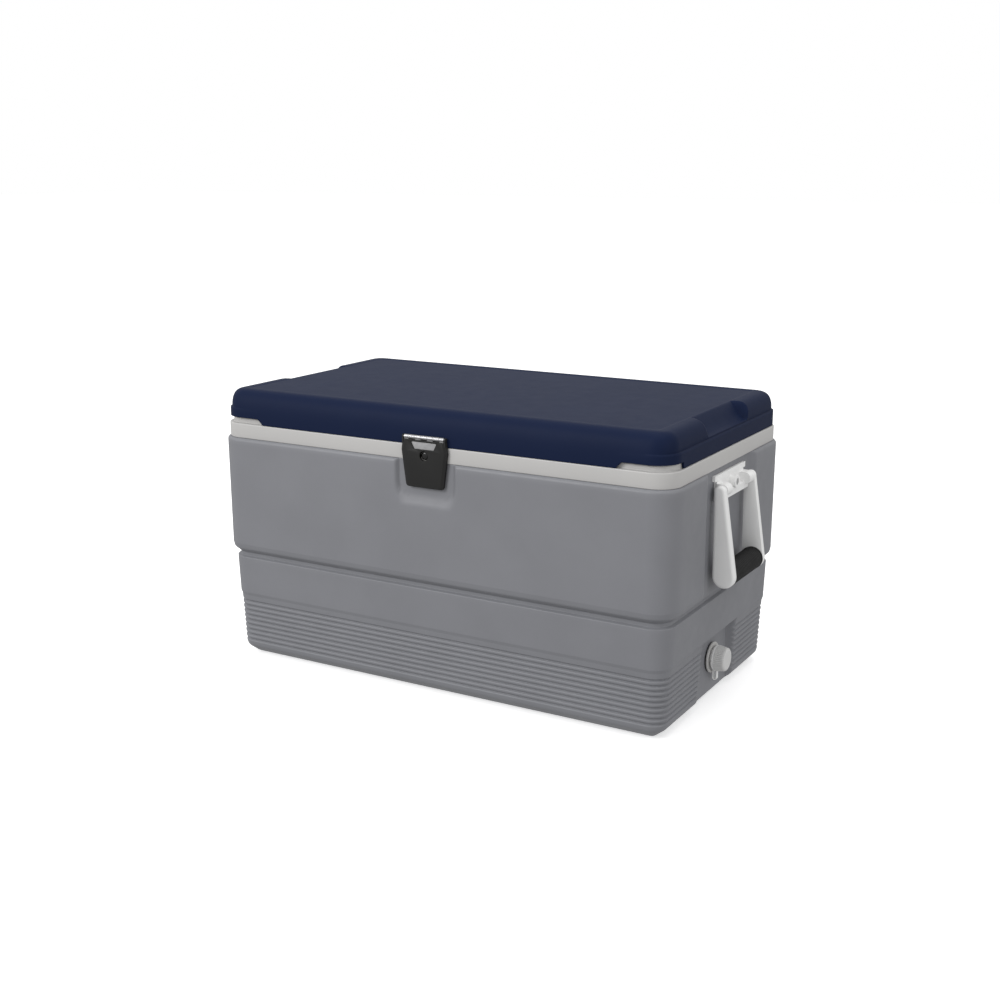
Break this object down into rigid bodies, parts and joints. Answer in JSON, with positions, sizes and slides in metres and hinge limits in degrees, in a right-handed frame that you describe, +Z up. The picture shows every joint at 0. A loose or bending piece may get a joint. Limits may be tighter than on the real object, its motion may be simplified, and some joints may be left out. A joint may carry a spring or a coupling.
{
  "type": "insulated ice chest",
  "caption": "Insulated ice chest: ribbed double-walled hull, white tub, hinged lid with a front latch, swinging bail handles and a screw-capped drain.",
  "frame": {"origin": "middle of the base, on the surface the chest stands on", "axes": "+Z up, +X along the length towards the end with the drain, -Y towards the latched front"},
  "size_m": [0.79, 0.411, 0.4115],
  "materials": {
    "hull_grey": "satin moulded polyethylene",
    "tub_white": "smooth moulded polyethylene",
    "lid_navy": "satin moulded polyethylene",
    "foam": "rigid urethane foam",
    "hinge_white": "satin",
    "handle_grey": "satin",
    "latch_black": "satin",
    "grip_black": "fine grip texture",
    "steel": "brushed stainless steel",
    "seal_rubber": "matt"
  },
  "bodies": {
    "chest": {"outer_hull": "hull_grey", "inner_tub": "tub_white", "hull_foam": "foam", "hinge_leaf_hull_right": "hinge_white", "hinge_leaf_hull_left": "hinge_white", "hinge_pins": "steel", "hinge_screws_hull": "steel", "keeper_stud": "latch_black", "handle_bracket_right": "handle_grey", "handle_bracket_left": "handle_grey", "handle_pivot_pins_right": "steel", "handle_pivot_pins_left": "steel", "bracket_screws": "steel", "drain_gasket": "seal_rubber", "drain_spout": "tub_white", "drain_inner_nut": "tub_white"},
    "lid": {"lid_shell": "lid_navy", "lid_inner_panel": "tub_white", "lid_foam": "foam", "hinge_leaf_lid_right": "hinge_white", "hinge_leaf_lid_left": "hinge_white", "hinge_screws_lid": "steel", "latch_leaf_lid": "steel", "latch_hinge_pin": "steel", "latch_leaf_screws": "steel"},
    "latch": {"latch_plate": "latch_black", "latch_leaf_plate": "steel"},
    "handle_right": {"handle_arm_right_front": "handle_grey", "handle_arm_right_rear": "handle_grey", "grip_sleeve_right": "grip_black", "grip_rod_right": "steel"},
    "handle_left": {"handle_arm_left_front": "handle_grey", "handle_arm_left_rear": "handle_grey", "grip_sleeve_left": "grip_black", "grip_rod_left": "steel"},
    "cap_tether": {"drain_tether": "handle_grey"},
    "drain_cap": {"drain_cap": "handle_grey", "drain_cap_seal": "seal_rubber"}
  },
  "joints": [
    {"name": "lid_hinge", "type": "hinge", "parent": "chest", "child": "lid", "pos_m": [0, 0.2024, 0.36275], "axis": [-1, 0, 0], "range_deg": [0, 100]},
    {"name": "latch_hinge", "type": "hinge", "parent": "lid", "child": "latch", "pos_m": [0, -0.2024, 0.3739], "axis": [-1, 0, 0], "range_deg": [0, 150]},
    {"name": "handle_right_swing", "type": "hinge", "parent": "chest", "child": "handle_right", "pos_m": [0.3695, 0, 0.313], "axis": [0, -1, 0], "range_deg": [0, 95]},
    {"name": "handle_left_swing", "type": "hinge", "parent": "chest", "child": "handle_left", "pos_m": [-0.3695, 0, 0.313], "axis": [0, 1, 0], "range_deg": [0, 95]},
    {"name": "cap_travel", "type": "slide", "parent": "chest", "child": "cap_tether", "axis": [1, 0, 0], "range_m": [0, 0.0075]},
    {"name": "cap_turn", "type": "hinge", "parent": "cap_tether", "child": "drain_cap", "pos_m": [0.355, 0, 0.059], "axis": [1, 0, 0], "range_deg": [0, 900]}
  ],
  "couplings": [
    {"joint": "cap_travel", "follows": "cap_turn", "m_per_rad": 0.00047746}
  ]
}
